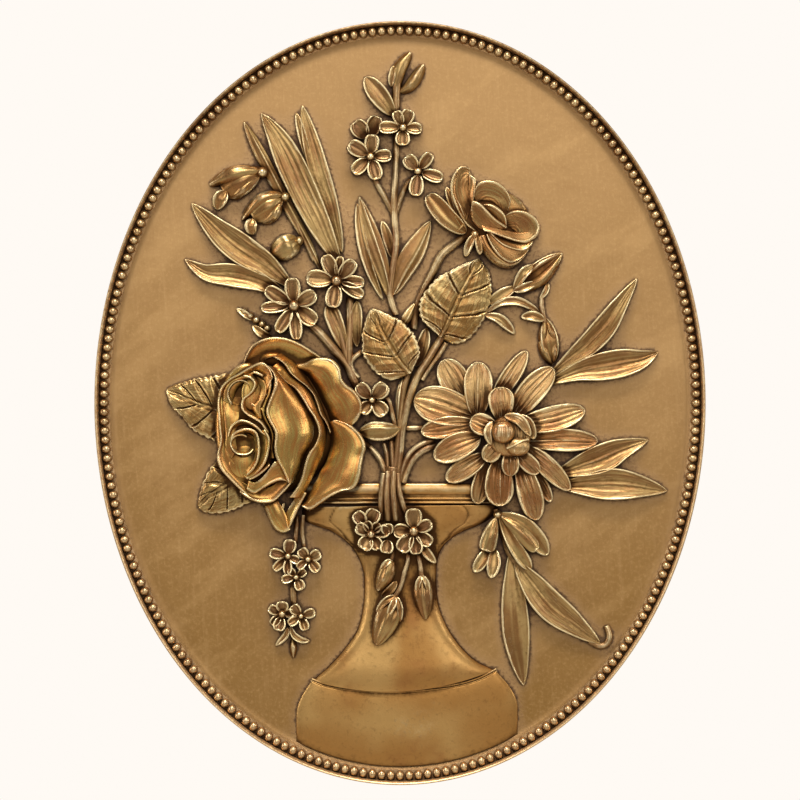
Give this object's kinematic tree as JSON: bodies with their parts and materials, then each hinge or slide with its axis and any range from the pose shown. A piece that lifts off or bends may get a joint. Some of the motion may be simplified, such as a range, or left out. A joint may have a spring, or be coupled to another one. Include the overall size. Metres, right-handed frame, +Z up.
{
  "type": "oval floral relief wall plaque",
  "caption": "Oval gilded wall plaque in high relief: a flared vase holding a bouquet of flowers and leaves, inside a lip and a row of beads, with a flat back.",
  "frame": {"origin": "centre of the flat back face, which lies on the wall", "axes": "+Z up along the oval's height, +Y into the wall, front faces -Y, +X to the viewer's right"},
  "size_m": [0.4064, 0.0413, 0.508],
  "materials": {
    "antique_gilt": "cast resin with antique gold paint, satin to semi-gloss, dark in the hollows and bright on the edges"
  },
  "bodies": {
    "root": {"floral_relief_plaque": "antique_gilt"}
  },
  "joints": []
}
